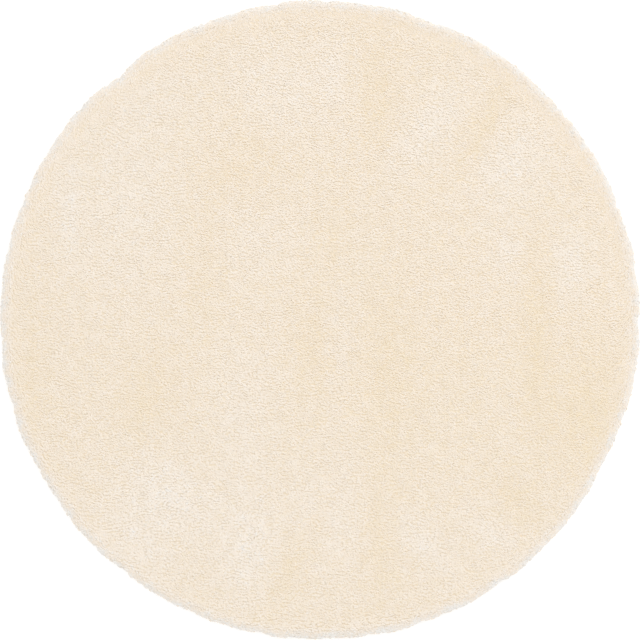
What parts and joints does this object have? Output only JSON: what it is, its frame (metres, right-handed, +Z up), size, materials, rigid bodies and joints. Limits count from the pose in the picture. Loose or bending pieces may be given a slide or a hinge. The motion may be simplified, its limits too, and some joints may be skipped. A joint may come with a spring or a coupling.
{
  "type": "shag rug",
  "caption": "Round shag rug with a deep, plain ivory plush pile that rolls over its rim, lying flat on the floor.",
  "frame": {"origin": "middle of the flat underside, on the floor", "axes": "+Z up from the floor through the pile; +Y towards the far side of the rug in the view from above, +X to its right"},
  "size_m": [1.5955, 1.5968, 0.0299],
  "materials": {
    "pile": "matt ivory plush pile with paler tips, cut yarn",
    "backing": "coarse plain woven backing cloth, unbleached"
  },
  "bodies": {
    "root": {"rug": "pile"}
  },
  "joints": []
}
